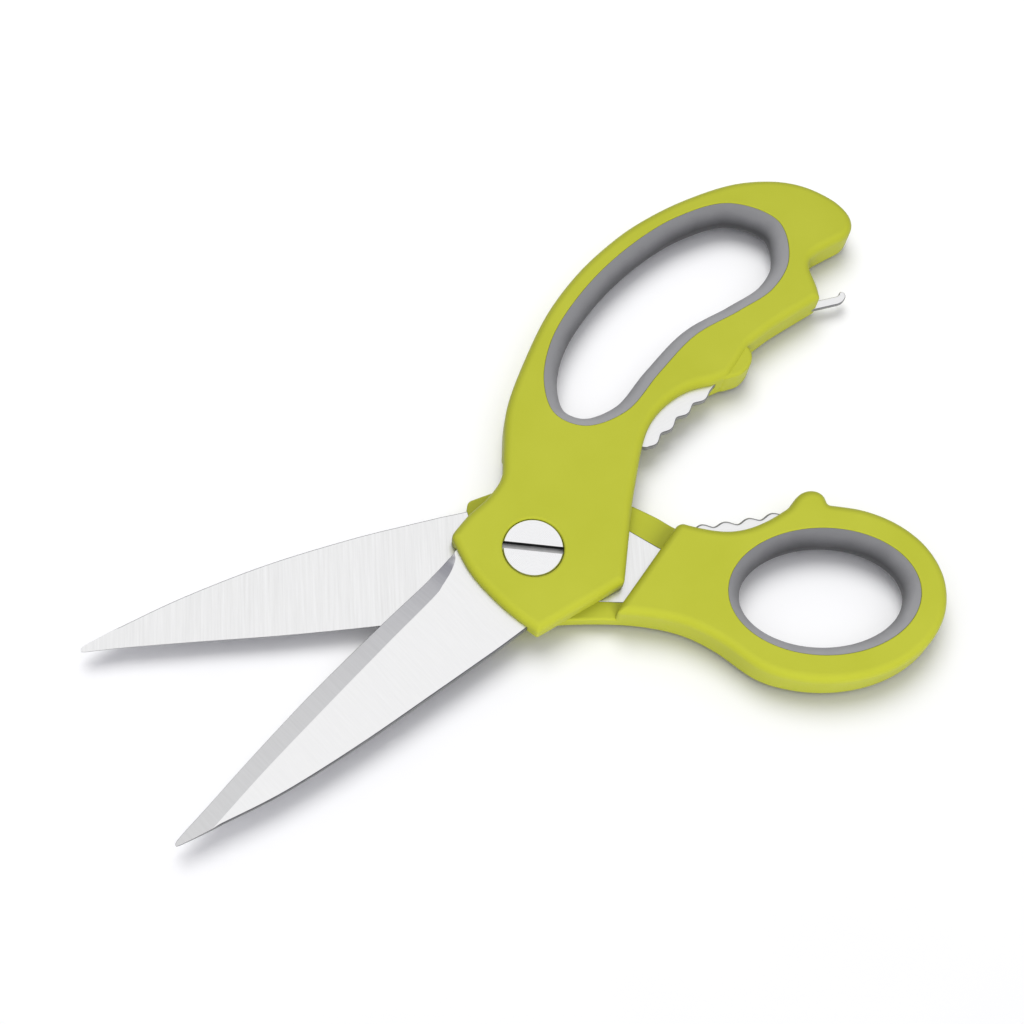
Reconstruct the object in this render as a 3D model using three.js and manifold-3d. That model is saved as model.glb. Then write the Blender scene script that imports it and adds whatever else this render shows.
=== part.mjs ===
import * as THREE from 'three';
import { mergeVertices } from 'three/addons/utils/BufferGeometryUtils.js';
import loadManifold from 'manifold-3d';

const wasm = await loadManifold();
wasm.setup();

// Multi-purpose kitchen scissors, lying open on a table. Millimetres and degrees.
// The origin is on the pivot axis at the table, x runs to the tips along the middle of the opening, z is up.
// Each half is drawn in its own frame: x to its tip, y to the back of its blade, z out of the middle plane.
// The lower half is the same frame turned over.

// Overall sizes
const openingAtRest = 27.7;
const handleThickness = 10;
const handleEdgeRound = 2;
const runningGap = 0.3;
const seatGap = 0.3;

// Blades: places along the blade as shares of its length, and the outlines at those places
const pivotToTip = 105;
const bladeRoot = 12;
const steelThickness = 2.2;
const tipThickness = 1.2;
const edgeThickness = 0.35;
const tipLand = 0.1;
const bladeAlong = [0, 0.045, 0.065, 0.1, 0.14, 0.3, 0.52, 0.73, 0.89, 0.955, 0.99, 1];
const grindWidth = [0.3, 0.5, 2, 3.3, 4, 4.5, 4.8, 4.5, 4.4, 4.4, 4.4, 4.4];
const upperEdge = [-12.2, -11.6, -11.3, -10.9, -10.5, -9.4, -7.4, -4.7, -2.3, -1.4, -0.8, -0.35];
const upperSpine = [13.1, 12.9, 12.8, 12.6, 12.3, 11, 9.1, 6.4, 2.9, 1.4, 0.5, 0.12];
const lowerEdge = [-12.2, -11.5, -11.1, -10.6, -10.2, -8.9, -6.4, -3.5, -1.4, -0.7, -0.35, -0.12];
const lowerSpine = [14.1, 14.1, 14.1, 14, 13.9, 13.3, 11.3, 7.8, 4, 2.2, 1.1, 0.5];
const tangFront = [[-12, -14.5], [0, -12.6], [13, -11.9], [13, 13], [-9, 13.6], [-24, 1], [-29.5, -4.6]];
const upperTail = [[-36, -7.5], [-34.5, -9.8], [-24.5, -14.6], [-18, -16.2]];
const lowerTail = [[-36, -10], [-33, -19], [-18, -16.2]];
const upperBlade = { edge: upperEdge, spine: upperSpine, tail: upperTail };
const lowerBlade = { edge: lowerEdge, spine: lowerSpine, tail: lowerTail };

// Pivot
const barrelRadius = 4;
const barrelWall = 1.5;
const barrelFloor = 1;
const headRadius = 6.75;
const headSink = 0.3;
const slotWidth = 1.9;
const slotDepth = 1.2;
const slotAngle = -33;
const washerThickness = 0.5;
const washerInset = 0.25;

// Bolster plates
const bolsterFrontCorner = [12.2, -14.8];
const bolsterTab = 1;
const bolsterSpineWall = 2.5;
const upperFront = [[14.6, -6], [15, 1], [14.6, 7.5]];
const upperTabX = 13.6;
const lowerFront = [[14.3, -6], [14.2, 1], [13.3, 7.5]];
const lowerTabX = 12;
const bolsterBackCorner = [-10.6, 19.9];
const shankCorner = [-26, 6.4];
const stepClearance = 2;

// Upper handle: inner edge from the shank to the nose, then the outer edge back to the bolster
const upperRecess = [[-37.5, -2.3], [-44, -5.8], [-50.5, -6.9], [-57, -6.1], [-62.5, -3.6]];
const upperStop = [[-66.5, -2], [-70, -0.8], [-73.3, -1.3], [-75.6, -3], [-76.6, -5.2]];
const upperInnerEdge = [[-84, -5], [-91, -4.2], [-99.6, -3]];
const openerNotch = [[-101.5, -6.1], [-103.5, -10.4], [-105.6, -12.3], [-108.6, -12.5]];
const upperOuterEdge = [
  [-113, -11.7], [-117.2, -11], [-120.6, -12.2], [-122.5, -15.5], [-122.4, -21], [-119.5, -28.5],
  [-114, -35], [-105, -40.9], [-92, -45.3], [-80, -47.5], [-70, -47.9], [-58, -46.8], [-45, -43.5],
  [-32, -37.7], [-20, -30.9], [-12, -23.3], [-7, -18.4], [-1, -16.5], [5.5, -16.1],
];
const fingerLoop = [
  [-27.2, -21.8], [-30.6, -14.9], [-40.8, -11.4], [-54, -13.7], [-68, -15.4], [-81, -13.3], [-92, -12.3],
  [-101, -15.7], [-106.7, -25], [-101, -36.5], [-88, -42.2], [-72, -43.8], [-55, -42], [-40, -37],
  [-30.7, -29.6],
];

// Lower handle: inner edge, then an oval thumb loop in a rim of even width, then the outer edge.
// The rim runs from the stop round to the shank, and the stop is drawn from its foot on the rim.
const lowerRecess = [[-36, -1.4], [-44, -5.2], [-50, -6.1], [-56, -5.2], [-61.8, -3.2]];
const lowerStop = [[6.5, 3.7], [4.1, 4.5], [1.8, 4], [0.3, 2.4]];
const thumbLoopCentre = [-63.5, -25.5];
const thumbLoopHalfLength = 22.8;
const thumbLoopHalfWidth = 15.8;
const thumbLoopTilt = 9.5;
const thumbRim = 6.4;
const thumbRimEnds = [[-71.5, -4.7], [-42.3, -39.4]];
const lowerOuterEdge = [[-36, -31.6], [-29, -25.7], [-20, -21.5], [-10, -18.7], [0, -16.8], [6, -16.1]];

// Grips: a bead all round each loop
const gripProtrusion = 2.9;
const gripHalfHeight = 4.8;
const gripFullness = 0.7;

// Cracker jaws: the valleys between the round teeth from the pivot outwards, and the rooted edge
const jawValleys = [[-39.9, -1.9], [-44.5, -2.3], [-50.1, -2.9], [-55.7, -3], [-61.6, -2.9]];
const toothHeight = 1.2;
const jawRoot = [
  [-63.8, -3.4], [-62.6, -6.2], [-56, -7.9], [-50, -8.9], [-44, -8.2], [-39.6, -6.4], [-38, -3.9],
];

// Opener hook: a flat strip rooted in the handle, and its curled end from the outer side to the throat
const hookThickness = 1.2;
const hookLevel = -2.1;
const hookRootX = -91.5;
const hookAngle = 154;
const hookCurl = [
  [-104.5, -0.2], [-105.7, 0.1], [-107, -0.1], [-107.8, -0.6], [-108.1, -1.2], [-108, -1.8],
  [-107.6, -2.2], [-107.1, -2.2], [-106.8, -1.9], [-106, -1.9],
];

// Mesh steps
const splineSteps = 3;
const loopSteps = 64;
const beadSteps = 6;
const roundSteps = 3;
const turnSteps = 40;
const toothSteps = 5;
const rimSteps = 11;
const mergeDistance = 1e-5;
const fullTurn = 360;

// Levels, in a half's own frame unless named for the whole object
const halfThickness = handleThickness / 2;
const steelInner = runningGap / 2;
const steelOuter = steelInner + steelThickness;
const pocketTop = steelOuter + seatGap;
const through = halfThickness + 1;

const lime = new THREE.MeshStandardMaterial({ color: 0xb9c33c, roughness: 0.45, metalness: 0 });
const softGrey = new THREE.MeshStandardMaterial({ color: 0x88888a, roughness: 0.75, metalness: 0 });
const bladeSteel = new THREE.MeshStandardMaterial({ color: 0xd9dadc, roughness: 0.3, metalness: 1 });
const pivotSteel = new THREE.MeshStandardMaterial({ color: 0xe4e5e7, roughness: 0.2, metalness: 1 });

function toVectors(list) {
  return list.map(([x, y]) => new THREE.Vector2(x, y));
}

// A solid from a closed geometry, with shared corners merged and flat slivers at an axis left out
function solidOf(geometry) {
  geometry.deleteAttribute('normal');
  geometry.deleteAttribute('uv');
  const merged = mergeVertices(geometry, mergeDistance);
  const corners = merged.index.array;
  const kept = [];
  for (let i = 0; i < corners.length; i += 3) {
    const [a, b, c] = [corners[i], corners[i + 1], corners[i + 2]];
    if (a !== b && b !== c && c !== a) {
      kept.push(a, b, c);
    }
  }
  const mesh = new wasm.Mesh({
    numProp: 3,
    vertProperties: merged.attributes.position.array,
    triVerts: Uint32Array.from(kept),
  });
  return new wasm.Manifold(mesh);
}

function pieceOf(name, solid, material) {
  const { vertProperties, triVerts } = solid.getMesh();
  const geometry = new THREE.BufferGeometry();
  geometry.setAttribute('position', new THREE.BufferAttribute(vertProperties, 3));
  geometry.setIndex(new THREE.BufferAttribute(triVerts, 1));
  geometry.computeVertexNormals();
  const piece = new THREE.Mesh(geometry, material.clone());
  piece.name = name;
  return piece;
}

function prism(outline, low, high) {
  const shape = new THREE.Shape(outline);
  const geometry = new THREE.ExtrudeGeometry(shape, { depth: high - low, bevelEnabled: false });
  return solidOf(geometry.translate(0, 0, low));
}

// A moulding with round edges, centred on the middle plane
function roundedSlab(shape) {
  const depth = handleThickness - 2 * handleEdgeRound;
  const geometry = new THREE.ExtrudeGeometry(shape, {
    depth,
    curveSegments: splineSteps,
    bevelThickness: handleEdgeRound,
    bevelSize: handleEdgeRound,
    bevelOffset: -handleEdgeRound,
    bevelSegments: roundSteps,
  });
  return solidOf(geometry.translate(0, 0, -depth / 2));
}

function round(radius, low, high) {
  const geometry = new THREE.CylinderGeometry(radius, radius, high - low, turnSteps);
  return solidOf(geometry.rotateX(Math.PI / 2).translate(0, 0, (low + high) / 2));
}

// A turned piece from [radius, height] corners, listed from the bottom of the axis to the top
function turned(profile) {
  const geometry = new THREE.LatheGeometry(toVectors(profile), turnSteps);
  return solidOf(geometry.rotateX(Math.PI / 2));
}

// An outline moved outwards by a distance, corner by corner
function grown(outline, distance) {
  const corners = toVectors(outline);
  return corners.map((corner, i) => {
    const before = corners.at(i - 1);
    const after = corners[(i + 1) % corners.length];
    const arriving = corner.clone().sub(before).normalize();
    const leaving = after.clone().sub(corner).normalize();
    const outward = new THREE.Vector2(arriving.y + leaving.y, -arriving.x - leaving.x);
    const reach = 2 * distance / outward.lengthSq();
    return corner.clone().addScaledVector(outward, reach);
  });
}

// A solid skinned over sections that all have the same number of corners
function skinned(sections) {
  const size = sections[0].length;
  const last = (sections.length - 1) * size;
  const index = [];
  for (let start = 0; start < last; start += size) {
    for (let j = 0; j < size; j += 1) {
      const next = (j + 1) % size;
      index.push(start + j, start + next, start + size + j);
      index.push(start + next, start + size + next, start + size + j);
    }
  }
  for (let j = 1; j < size - 1; j += 1) {
    index.push(0, j + 1, j);
    index.push(last, last + j, last + j + 1);
  }
  const geometry = new THREE.BufferGeometry().setFromPoints(sections.flat());
  geometry.setIndex(index);
  return solidOf(geometry);
}

// A bead swept round a closed path that runs anticlockwise, from [inset, height] corners
function sweptRing(path, section) {
  const count = path.length;
  const size = section.length;
  const points = [];
  const index = [];
  path.forEach((point, i) => {
    const before = path.at(i - 1);
    const after = path[(i + 1) % count];
    const inward = new THREE.Vector2(before.y - after.y, after.x - before.x).normalize();
    for (const [inset, height] of section) {
      points.push(new THREE.Vector3(point.x + inward.x * inset, point.y + inward.y * inset, height));
    }
    const ahead = ((i + 1) % count) * size;
    for (let j = 0; j < size; j += 1) {
      const next = (j + 1) % size;
      index.push(i * size + j, i * size + next, ahead + j);
      index.push(i * size + next, ahead + next, ahead + j);
    }
  });
  const geometry = new THREE.BufferGeometry().setFromPoints(points);
  geometry.setIndex(index);
  return solidOf(geometry);
}

// Blade with its tang: it thins to the tip, and the grind falls from the flat to the thin cutting edge
function bladeSolid({ edge: edgeLine, spine, tail }) {
  const places = bladeAlong.map((share) => bladeRoot + share * (pivotToTip - bladeRoot));
  const curveOf = (values) => new THREE.SplineCurve(values.map((y, i) => new THREE.Vector2(places[i], y)));
  const edgeCurve = curveOf(edgeLine);
  const grindCurve = curveOf(grindWidth);
  const spineCurve = curveOf(spine);
  const steps = splineSteps * (bladeAlong.length - 1);
  const sections = [];
  for (let i = 0; i <= steps; i += 1) {
    const { x, y: edge } = edgeCurve.getPoint(i / steps);
    const back = spineCurve.getPoint(i / steps).y;
    const fullGrind = grindCurve.getPoint(i / steps).y;
    const grind = Math.min(fullGrind, back - edge - tipLand);
    const share = (x - bladeRoot) / (pivotToTip - bladeRoot);
    const thickness = THREE.MathUtils.lerp(steelThickness, tipThickness, share);
    const low = steelInner + edgeThickness;
    const high = low + (thickness - edgeThickness) * grind / fullGrind;
    sections.push([
      new THREE.Vector3(x, edge, steelInner),
      new THREE.Vector3(x, back, steelInner),
      new THREE.Vector3(x, back, high),
      new THREE.Vector3(x, edge + grind, high),
      new THREE.Vector3(x, edge, low),
    ]);
  }
  const tang = prism(toVectors([...tangFront, ...tail]), steelInner, steelOuter);
  const eye = round(barrelRadius + seatGap, -through, through);
  return skinned(sections).add(tang).subtract(eye);
}

// The bolster's front, its tab beside the blade and its straight back edge: the start of an outline
function bolsterStart(front, tabX, spine) {
  const shape = new THREE.Shape();
  shape.moveTo(...bolsterFrontCorner);
  shape.splineThru(toVectors([...front, [tabX, spine[0] + seatGap]]));
  shape.lineTo(tabX - bolsterTab, spine[0] + bolsterSpineWall);
  shape.lineTo(...bolsterBackCorner);
  shape.lineTo(...shankCorner);
  return shape;
}

function upperOutline() {
  const shape = bolsterStart(upperFront, upperTabX, upperSpine);
  for (const stretch of [upperRecess, upperStop, upperInnerEdge, openerNotch]) {
    shape.splineThru(toVectors(stretch));
  }
  shape.splineThru(toVectors([...upperOuterEdge, bolsterFrontCorner]));
  return shape;
}

// A point on the thumb loop's oval, or on its rim when moved outwards
function thumbLoopPoint(turn, outwards) {
  const angle = THREE.MathUtils.degToRad(turn);
  const size = new THREE.Vector2(thumbLoopHalfLength, thumbLoopHalfWidth);
  const direction = new THREE.Vector2(Math.cos(angle), Math.sin(angle));
  const normal = direction.clone().divide(size).normalize();
  const point = direction.multiply(size).addScaledVector(normal, outwards);
  point.rotateAround(new THREE.Vector2(), THREE.MathUtils.degToRad(thumbLoopTilt));
  return point.add(new THREE.Vector2(...thumbLoopCentre));
}

// How far round the thumb loop a place on its rim lies
function thumbLoopTurn(place) {
  const [point, centre] = toVectors([place, thumbLoopCentre]);
  point.sub(centre).rotateAround(new THREE.Vector2(), THREE.MathUtils.degToRad(-thumbLoopTilt));
  point.divide(new THREE.Vector2(thumbLoopHalfLength + thumbRim, thumbLoopHalfWidth + thumbRim));
  return THREE.MathUtils.radToDeg(point.angle());
}

function lowerOutline() {
  const shape = bolsterStart(lowerFront, lowerTabX, lowerSpine);
  const [rimStart, rimEnd] = thumbRimEnds.map(thumbLoopTurn);
  const rim = [];
  for (let i = 0; i <= rimSteps; i += 1) {
    rim.push(thumbLoopPoint(THREE.MathUtils.lerp(rimStart, rimEnd, i / rimSteps), thumbRim));
  }
  shape.splineThru(toVectors(lowerRecess));
  const stop = toVectors(lowerStop).map((offset) => offset.add(rim[0]));
  shape.splineThru([...stop, rim[0]]);
  shape.splineThru([...rim.slice(1), ...toVectors([...lowerOuterEdge, bolsterFrontCorner])]);
  return shape;
}

function fingerLoopPath() {
  const knots = fingerLoop.map(([x, y]) => new THREE.Vector3(x, y, 0));
  const points = new THREE.CatmullRomCurve3(knots, true).getPoints(loopSteps).slice(0, loopSteps);
  return points.map(({ x, y }) => new THREE.Vector2(x, y));
}

function thumbLoopPath() {
  return Array.from({ length: loopSteps }, (_, i) => thumbLoopPoint(fullTurn * i / loopSteps, 0));
}

// Everything on the pivot side of the step, which clears the other half's back edge when closed
function stepRegion() {
  const [corner, shank] = toVectors([bolsterBackCorner, shankCorner]);
  corner.y *= -1;
  shank.y *= -1;
  const along = shank.clone().sub(corner).normalize();
  const away = new THREE.Vector2(-along.y, along.x);
  const reach = 2 * pivotToTip;
  const foot = corner.clone().addScaledVector(away, stepClearance);
  return [
    foot.clone().addScaledVector(along, -reach),
    foot.clone().addScaledVector(along, -reach).addScaledVector(away, -reach),
    foot.clone().addScaledVector(along, reach).addScaledVector(away, -reach),
    foot.clone().addScaledVector(along, reach),
  ].reverse();
}

function handleSolid(outline, loop, { edge, spine, tail }) {
  const mouth = toVectors([
    [bladeRoot - seatGap, edge[0] - seatGap],
    [pivotToTip, edge[0] - seatGap],
    [pivotToTip, spine[0] + seatGap],
    [bladeRoot - seatGap, spine[0] + seatGap],
  ]);
  const cuts = [
    prism(loop, -through, through),
    prism(stepRegion(), -through, steelInner),
    prism(grown([...tangFront, ...tail], seatGap), steelInner - seatGap, pocketTop),
    prism(mouth, steelInner - seatGap, pocketTop),
    prism(grown(jawOutline(), seatGap), steelInner - seatGap, pocketTop),
    round(headRadius + seatGap, -through, through),
  ];
  return cuts.reduce((solid, cut) => solid.subtract(cut), roundedSlab(outline));
}

function gripSolid(loop) {
  const section = [];
  for (let i = 0; i <= beadSteps; i += 1) {
    const angle = Math.PI * (i / beadSteps - 0.5);
    section.push([
      seatGap + (gripProtrusion - seatGap) * Math.abs(Math.cos(angle)) ** gripFullness,
      gripHalfHeight * Math.sin(angle),
    ]);
  }
  return sweptRing(loop, section);
}

function jawOutline() {
  const teeth = [];
  for (let i = 0; i < jawValleys.length - 1; i += 1) {
    for (let step = 0; step < toothSteps; step += 1) {
      const share = step / toothSteps;
      const x = THREE.MathUtils.lerp(jawValleys[i][0], jawValleys[i + 1][0], share);
      const y = THREE.MathUtils.lerp(jawValleys[i][1], jawValleys[i + 1][1], share);
      teeth.push([x, y + toothHeight * Math.sin(Math.PI * share)]);
    }
  }
  return [...teeth, jawValleys.at(-1), ...jawRoot];
}

// The strip's straight sides: root and start of the curl on the outer side, then the curl's end and root
function hookSides() {
  const angle = THREE.MathUtils.degToRad(hookAngle);
  const rootOf = ([x, y]) => [hookRootX, y + (hookRootX - x) * Math.tan(angle)];
  const [start, end] = [hookCurl[0], hookCurl.at(-1)];
  return [rootOf(start), start, end, rootOf(end)];
}

function hookOutline() {
  const [outerRoot, , , innerRoot] = hookSides();
  const curl = new THREE.SplineCurve(toVectors(hookCurl)).getPoints(splineSteps * (hookCurl.length - 1));
  return [...toVectors([outerRoot]), ...curl, ...toVectors([innerRoot])];
}

const hookTop = hookLevel + hookThickness;

// Pivot levels above the table
const lowerSteelFace = halfThickness - steelOuter;
const upperSteelFace = halfThickness + steelOuter;
const flangeTop = lowerSteelFace - 2 * seatGap - washerThickness;
const barrelTop = upperSteelFace - seatGap / 2;
const headLow = upperSteelFace + seatGap;
const headTop = handleThickness - headSink;
const boreRadius = barrelRadius - barrelWall;

function nutSolid() {
  return turned([
    [0, 0], [headRadius, 0], [headRadius, flangeTop], [barrelRadius, flangeTop],
    [barrelRadius, barrelTop], [boreRadius, barrelTop], [boreRadius, barrelFloor], [0, barrelFloor],
  ]);
}

function screwSolid() {
  const shankRadius = boreRadius - seatGap;
  const shankEnd = barrelFloor + seatGap;
  const screw = turned([
    [0, shankEnd], [shankRadius, shankEnd], [shankRadius, headLow], [headRadius, headLow],
    [headRadius, headTop], [0, headTop],
  ]);
  const slot = new THREE.BoxGeometry(2 * headRadius + slotWidth, slotWidth, 2 * slotDepth);
  slot.rotateZ(THREE.MathUtils.degToRad(slotAngle)).translate(0, 0, headTop);
  return screw.subtract(solidOf(slot));
}

function washerSolid() {
  const low = flangeTop + seatGap;
  const eye = round(barrelRadius + seatGap, 0, handleThickness);
  return round(headRadius - washerInset, low, low + washerThickness).subtract(eye);
}

const upperLoop = fingerLoopPath();
const lowerLoop = thumbLoopPath();
const hookPocket = prism(grown(hookSides(), seatGap), hookLevel - seatGap, hookTop + seatGap);
const jaw = prism(toVectors(jawOutline()), steelInner, steelOuter);

const upperHandle = handleSolid(upperOutline(), upperLoop, upperBlade);

const upperHalf = new THREE.Group();
upperHalf.position.z = halfThickness;
upperHalf.rotation.z = THREE.MathUtils.degToRad(openingAtRest / 2);
upperHalf.add(
  pieceOf('upper_blade', bladeSolid(upperBlade), bladeSteel),
  pieceOf('upper_handle', upperHandle.subtract(hookPocket), lime),
  pieceOf('upper_grip', gripSolid(upperLoop), softGrey),
  pieceOf('upper_jaw', jaw, bladeSteel),
  pieceOf('opener_hook', prism(hookOutline(), hookLevel, hookTop), bladeSteel),
);

const turnedOver = new THREE.Group();
turnedOver.rotation.x = Math.PI;
turnedOver.add(
  pieceOf('lower_blade', bladeSolid(lowerBlade), bladeSteel),
  pieceOf('lower_handle', handleSolid(lowerOutline(), lowerLoop, lowerBlade), lime),
  pieceOf('lower_grip', gripSolid(lowerLoop), softGrey),
  pieceOf('lower_jaw', jaw, bladeSteel),
);

const lowerHalf = new THREE.Group();
lowerHalf.position.z = halfThickness;
lowerHalf.rotation.z = THREE.MathUtils.degToRad(-openingAtRest / 2);
lowerHalf.add(turnedOver);

const scissors = new THREE.Group();
scissors.add(
  upperHalf,
  lowerHalf,
  pieceOf('pivot_nut', nutSolid(), pivotSteel),
  pieceOf('spring_washer', washerSolid(), pivotSteel),
  pieceOf('pivot_screw', screwSolid(), pivotSteel),
);

export default scissors;
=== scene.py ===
import math

import bmesh
import bpy
import numpy as np
from mathutils import Matrix, Vector
from mathutils.geometry import tessellate_polygon


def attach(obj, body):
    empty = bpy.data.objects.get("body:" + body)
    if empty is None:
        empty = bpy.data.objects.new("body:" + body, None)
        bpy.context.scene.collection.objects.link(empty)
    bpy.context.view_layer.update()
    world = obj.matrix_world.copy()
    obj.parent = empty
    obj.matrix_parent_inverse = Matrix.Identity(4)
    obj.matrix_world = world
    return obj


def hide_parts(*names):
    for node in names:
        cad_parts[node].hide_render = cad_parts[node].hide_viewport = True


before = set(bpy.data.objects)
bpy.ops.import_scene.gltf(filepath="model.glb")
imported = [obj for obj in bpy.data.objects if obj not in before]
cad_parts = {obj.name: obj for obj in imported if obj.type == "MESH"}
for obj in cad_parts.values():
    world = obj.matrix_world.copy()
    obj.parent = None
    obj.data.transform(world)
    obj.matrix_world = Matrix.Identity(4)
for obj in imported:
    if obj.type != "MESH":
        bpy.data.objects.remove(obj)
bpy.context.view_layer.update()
scene = bpy.context.scene
mm = 0.001  # shapes are drawn in millimetres, in the frame of their own half

print("frame loaded:", len(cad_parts), "nodes")


# Camera, standing where the photograph was taken from
view = {
    "aim": (-0.00253, -0.01337, 0.0),
    "place": (0.1234, 0.1413, 0.4520),
    "roll": 11.6,
    "lens": 73.125,
    "sensor": 36.0,
}


def makeCamera():
    data = bpy.data.cameras.new("camera")
    data.lens = view["lens"]
    data.sensor_width = view["sensor"]
    data.clip_start = 0.02
    camera = bpy.data.objects.new("camera", data)
    scene.collection.objects.link(camera)
    place = Vector(view["place"])
    ahead = (Vector(view["aim"]) - place).normalized()
    flatRight = ahead.cross(Vector((0, 0, 1))).normalized()
    flatUp = flatRight.cross(ahead)
    roll = math.radians(view["roll"])
    right = flatRight * math.cos(roll) + flatUp * math.sin(roll)
    up = flatUp * math.cos(roll) - flatRight * math.sin(roll)
    turn = Matrix((right, up, -ahead)).transposed().to_4x4()
    camera.matrix_world = Matrix.Translation(place) @ turn
    scene.camera = camera


makeCamera()
print("camera set")


# Curves and rings
ringSlack = 0.012  # millimetres by which a moved point may miss its distance


def splineThrough(knots, steps=14):
    knots = np.array(knots, float)
    share = (np.arange(steps) + 1)[:, None] / steps
    rows = [knots[:1]]
    for i in range(len(knots) - 1):
        before, start, end = knots[max(i - 1, 0)], knots[i], knots[i + 1]
        after = knots[min(i + 2, len(knots) - 1)]
        leave, arrive = (end - before) / 2, (after - start) / 2
        cubic = 2 * start - 2 * end + leave + arrive
        square = 3 * end - 3 * start - 2 * leave - arrive
        rows.append(((cubic * share + square) * share + leave) * share + start)
    return np.vstack(rows)


def closedSpline(knots, steps=16):
    knots = np.array(knots, float)
    share = np.arange(steps)[:, None] / steps
    rows = []
    for i in range(len(knots)):
        before, start, end, after = (knots[(i + k) % len(knots)] for k in (-1, 0, 1, 2))
        span0, span1, span2 = (
            math.sqrt(np.linalg.norm(b - a))
            for a, b in ((before, start), (start, end), (end, after))
        )
        leave = (start - before) / span0 - (end - before) / (span0 + span1) + (end - start) / span1
        arrive = (end - start) / span1 - (after - start) / (span1 + span2) + (after - end) / span2
        leave, arrive = leave * span1, arrive * span1
        cubic = 2 * start - 2 * end + leave + arrive
        square = 3 * end - 3 * start - 2 * leave - arrive
        rows.append(((cubic * share + square) * share + leave) * share + start)
    return np.vstack(rows)


def evenRing(points, spacing, soften=0.0):
    # the same closed line with evenly spaced points, its corners eased by soften millimetres
    ring = np.vstack([points, points[:1]])
    along = np.concatenate([[0], np.cumsum(np.linalg.norm(np.diff(ring, axis=0), axis=1))])
    at = np.linspace(0, along[-1], int(along[-1] / spacing), endpoint=False)
    ring = np.column_stack([np.interp(at, along, ring[:, k]) for k in (0, 1)])
    return easedRing(ring, spacing, soften) if soften else ring


def easedRing(ring, spacing, soften):
    reach = int(4 * soften / spacing) + 1
    weights = np.exp(-0.5 * (np.arange(-reach, reach + 1) * spacing / soften) ** 2)
    weights /= weights.sum()
    return sum(w * np.roll(ring, k - reach, axis=0) for k, w in enumerate(weights))


def easeCorners(ring, spacing, corners):
    # a stronger round near the listed corners: x, y, soften
    for x, y, soften in corners:
        near = np.exp(-((ring - (x, y)) ** 2).sum(1) / (8 * soften ** 2))[:, None]
        ring = ring * (1 - near) + easedRing(ring, spacing, soften) * near
    return ring


def distanceToRing(points, ring):
    ends = np.roll(ring, -1, axis=0)
    along = ends - ring
    length = (along ** 2).sum(1)
    away = points[:, None, :] - ring[None, :, :]
    share = np.clip((away * along).sum(2) / length, 0, 1)
    return np.linalg.norm(away - share[:, :, None] * along, axis=2).min(1)


def movedRing(ring, distance, side):
    # the ring moved sideways (side 1: to the left of its run)
    # and which of its points still keep their distance there
    run = np.roll(ring, -1, axis=0) - np.roll(ring, 1, axis=0)
    left = np.column_stack([-run[:, 1], run[:, 0]]) / np.linalg.norm(run, axis=1)[:, None]
    moved = ring + side * distance * left
    if abs(distance) < 1e-6:
        return moved, np.ones(len(ring), bool)
    return moved, distanceToRing(moved, ring) > abs(distance) - ringSlack


def grownRing(ring, distance):
    moved, true = movedRing(ring, distance, -1)
    return moved[true]


# Slabs with round edges
flatNormal = 0.9  # a face whose normal's z passes this counts as flat


def wallProfile(low, high, roundLow, roundHigh, steps=7, lead=0.15):
    # [inset, height] rows from the bottom face round to the top face
    turns = [math.radians(90 * i / steps) for i in range(steps + 1)]
    rows = [(roundLow + lead, low)]
    rows += [(roundLow * (1 - math.sin(a)), low + roundLow * (1 - math.cos(a))) for a in turns]
    rows += [
        (roundHigh * (1 - math.cos(a)), high - roundHigh * (1 - math.sin(a))) for a in turns
    ]
    rows.append((roundHigh + lead, high))
    return rows


def addWall(mesh, ring, profile, side):
    # skins the ring over the profile
    # a point that passes the middle of a corner drops out of its row
    count = len(ring)
    rows = []
    for inset, height in profile:
        moved, true = movedRing(ring, inset, side)
        rows.append([
            mesh.verts.new((*moved[i], height)) if true[i] else None for i in range(count)
        ])
    for small, big in zip(rows, rows[1:]):
        if sum(v is None for v in small) > sum(v is None for v in big):
            small, big = big, small
        kept = [i for i in range(count) if big[i] is not None]
        for k, i in enumerate(kept):
            j = kept[(k + 1) % len(kept)]
            steps = (j - i) % count
            between = [small[(i + s) % count] for s in range(steps + 1)]
            mesh.faces.new([v for v in between if v is not None] + [big[j], big[i]])
    return [[v for v in row if v is not None] for row in (rows[0], rows[-1])]


def slabMesh(outline, profile, holes=()):
    mesh = bmesh.new()
    caps = [addWall(mesh, outline, profile, 1)]
    caps += [addWall(mesh, ring, holeProfile, -1) for ring, holeProfile in holes]
    for end in (0, 1):
        loops = [cap[end] for cap in caps]
        corners = [v for loop in loops for v in loop]
        for triple in tessellate_polygon([[v.co for v in loop] for loop in loops]):
            mesh.faces.new([corners[i] for i in triple])
    bmesh.ops.recalc_face_normals(mesh, faces=mesh.faces)
    return mesh


def prismMesh(outline, low, high):
    mesh = bmesh.new()
    bottom = [mesh.verts.new((x, y, low)) for x, y in outline]
    top = [mesh.verts.new((x, y, high)) for x, y in outline]
    mesh.faces.new(bottom[::-1])
    mesh.faces.new(top)
    for i in range(len(bottom)):
        j = (i + 1) % len(bottom)
        mesh.faces.new([bottom[i], bottom[j], top[j], top[i]])
    bmesh.ops.recalc_face_normals(mesh, faces=mesh.faces)
    return mesh


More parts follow.
